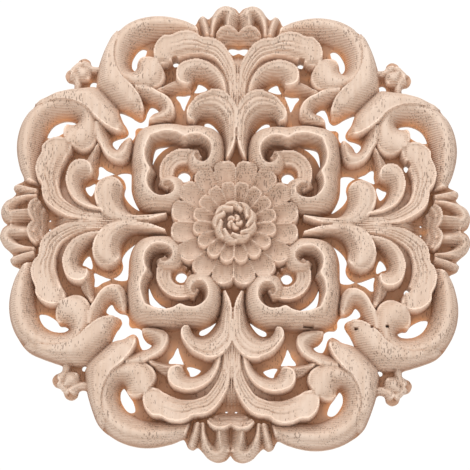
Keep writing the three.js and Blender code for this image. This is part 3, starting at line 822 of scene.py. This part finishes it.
def pierced(loops):
    """A map of 1 inside the given loops and 0 elsewhere."""
    inside = np.zeros((CELLS, CELLS))
    for loop in loops:
        left, down = np.maximum(((loop.min(axis=0) + REACH) / (2 * CELL)).astype(int), 0)
        right, up = ((loop.max(axis=0) + REACH) / (2 * CELL)).astype(int) + 2
        x, y = np.meshgrid(steps[left:right], steps[down:up])
        odd = np.zeros(x.shape, bool)
        for (ax, ay), (bx, by) in zip(loop, np.roll(loop, -1, axis=0)):
            if ay != by:
                odd ^= ((ay > y) != (by > y)) & (x < ax + (y - ay) * (bx - ax) / (by - ay))
        inside[down:up, left:right][odd] = 1
    return inside


def at_points(values, x, y):
    """A map's values at points given in shares of the radius."""
    column = np.clip((x + REACH) / (2 * CELL) - 0.5, 0, CELLS - 1.001)
    row = np.clip((y + REACH) / (2 * CELL) - 0.5, 0, CELLS - 1.001)
    i, j = row.astype(int), column.astype(int)
    f, g = row - i, column - j
    return (
        (values[i, j] * (1 - g) + values[i, j + 1] * g) * (1 - f)
        + (values[i + 1, j] * (1 - g) + values[i + 1, j + 1] * g) * f
    )


points = np.zeros(len(rosette.data.vertices) * 3, np.float32)
rosette.data.vertices.foreach_get("co", points)
points = points.reshape(-1, 3) / RADIUS
level = -points[:, 1]
wood_map = pierced([outline]) - pierced(holes)
near_height = softened(face_map * wood_map, NEARBY) / np.maximum(softened(wood_map, NEARBY), 0.05)
below = at_points(near_height, points[:, 0], points[:, 2]) - level
above = at_points(face_map, points[:, 0], points[:, 2]) - level
beside = at_points(softened(pierced(holes), NEAR_OPENING), points[:, 0], points[:, 2])
# Amount of painted shade, from how far each point lies below its surroundings.
hollow_shade_here = np.clip((below - HOLLOW_START) / HOLLOW_SPAN, 0, 1)
# Amount of painted highlight along the rims.
rim_highlight_here = at_points(brink_map, points[:, 0], points[:, 2]) * np.clip(1.2 - above / RIM_DEPTH, 0, 1)
# Amount of painted glow beside the openings, on the thin floor and at the thin spots.
glow_here = np.clip(beside * 2.6 - 0.15, 0, 0.9) * np.clip(1.4 - level / 0.08, 0, 1)
thin_floor = np.clip(below / 0.04, 0, 1) * np.clip(1 - (level - GROUND) / 0.03, 0, 1)
glow_here = np.maximum(glow_here, FLOOR_GLOW * thin_floor)
for x, y, width in THIN_SPOTS:
    away = np.hypot(points[:, 0] - x, points[:, 2] - y) / width
    glow_here = np.maximum(glow_here, np.exp(-(away**2)) * np.clip(2 - level / 0.04, 0, 1))
for name, values in (("hollow_shade", hollow_shade_here), ("rim", rim_highlight_here), ("glow", glow_here)):
    attribute = rosette.data.attributes.new(name, "FLOAT", "POINT")
    attribute.data.foreach_set("value", (values * (level > BACK_DEPTH)).astype(np.float32))

# The studio: a wide pale floor under the rosette, an even white surround, and one large soft light
# above and in front.
FLOOR_HALF, FLOOR_LEVEL = 3, -0.25
floor_corners = [
    (x * FLOOR_HALF, y * FLOOR_HALF, FLOOR_LEVEL) for x, y in ((-1, -1), (1, -1), (1, 1), (-1, 1))
]
floor = new_object("floor", floor_corners, [0, 1, 2, 3], [4])
paint = bpy.data.materials.new("floor_paint")
paint.use_nodes = True
paint_inputs = paint.node_tree.nodes["Principled BSDF"].inputs
paint_inputs["Base Color"].default_value = (0.86, 0.85, 0.84, 1)
paint_inputs["Roughness"].default_value = 0.9
floor.data.materials.append(paint)
world = bpy.data.worlds.new("surround")
bpy.context.scene.world = world
world.use_nodes = True
world.node_tree.nodes.clear()
Tone.tree = world.node_tree
seen = Tone.node("ShaderNodeLightPath", output="Is Camera Ray")
air = Tone.node("ShaderNodeBackground", None, {"Color": (1, 0.985, 0.97, 1), "Strength": seen * 0.16 + 0.89})
Tone.node("ShaderNodeOutputWorld", None, {"Surface": air})
bpy.context.scene.view_settings.view_transform = "Standard"
lamp = bpy.data.lights.new("soft_lamp", "AREA")
lamp.energy = 3.7
lamp.size = 0.5
lamp_object = bpy.data.objects.new("soft_lamp", lamp)
bpy.context.scene.collection.objects.link(lamp_object)
lamp_object.location = (-0.15, -0.6, 0.8)
lamp_object.rotation_mode = "QUATERNION"
lamp_object.rotation_quaternion = (-Vector(lamp_object.location)).to_track_quat("-Z", "Y")

camera = bpy.data.cameras.new("camera")
camera.sensor_width = 36
camera.lens = 147.7
camera.shift_x, camera.shift_y = -0.002, 0.0022
camera.clip_start = 0.01
camera_object = bpy.data.objects.new("camera", camera)
bpy.context.scene.collection.objects.link(camera_object)
camera_object.matrix_world = Matrix(
    (
        (0.99973, -0.01587, 0.01726, 0.01094),
        (0.01292, -0.24144, -0.97033, -0.5963),
        (0.01957, 0.97029, -0.24117, -0.1504),
        (0, 0, 0, 1),
    )
)
bpy.context.scene.camera = camera_object
